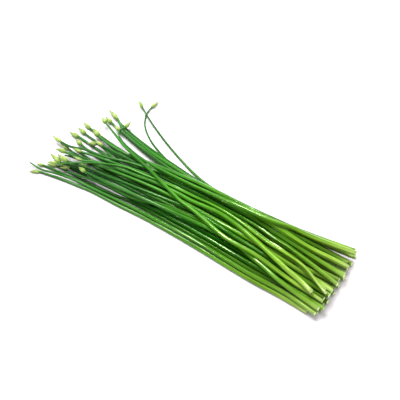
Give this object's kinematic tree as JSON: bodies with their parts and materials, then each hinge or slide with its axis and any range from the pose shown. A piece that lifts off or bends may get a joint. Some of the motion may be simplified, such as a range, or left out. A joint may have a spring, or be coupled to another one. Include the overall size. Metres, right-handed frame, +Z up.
{
  "type": "flowering leek stem bunch",
  "caption": "Loose bunch of cut flowering leek stems with closed pointed buds, lying flat: cut ends together, stems crossing at the waist, buds fanned out.",
  "frame": {"origin": "on the table, under the middle of the bunch's bounding box", "axes": "+X along the bunch towards the cut ends, +Y across it towards the side with the two loose stems, +Z up"},
  "size_m": [0.3446, 0.155, 0.0244],
  "materials": {
    "flower_stem": "satin",
    "flower_bud": "matte"
  },
  "bodies": {
    "root": {"stem_01": "flower_stem", "stem_02": "flower_stem", "stem_03": "flower_stem", "stem_04": "flower_stem", "stem_05": "flower_stem", "stem_06": "flower_stem", "stem_07": "flower_stem", "stem_08": "flower_stem", "stem_09": "flower_stem", "stem_10": "flower_stem", "stem_11": "flower_stem", "stem_12": "flower_stem", "stem_13": "flower_stem", "stem_14": "flower_stem", "stem_15": "flower_stem", "stem_16": "flower_stem", "stem_17": "flower_stem", "stem_18": "flower_stem", "stem_19": "flower_stem", "stem_20": "flower_stem", "stem_21": "flower_stem", "stem_22": "flower_stem", "stem_23": "flower_stem", "stem_24": "flower_stem", "stem_25": "flower_stem", "stem_26": "flower_stem", "stem_27": "flower_stem", "stem_28": "flower_stem", "stem_29": "flower_stem", "stem_30": "flower_stem", "stem_31": "flower_stem", "stem_32": "flower_stem", "stem_33": "flower_stem", "stem_34": "flower_stem", "stem_35": "flower_stem", "stem_36": "flower_stem", "stem_37": "flower_stem", "stem_38": "flower_stem", "stem_39": "flower_stem"}
  },
  "joints": []
}
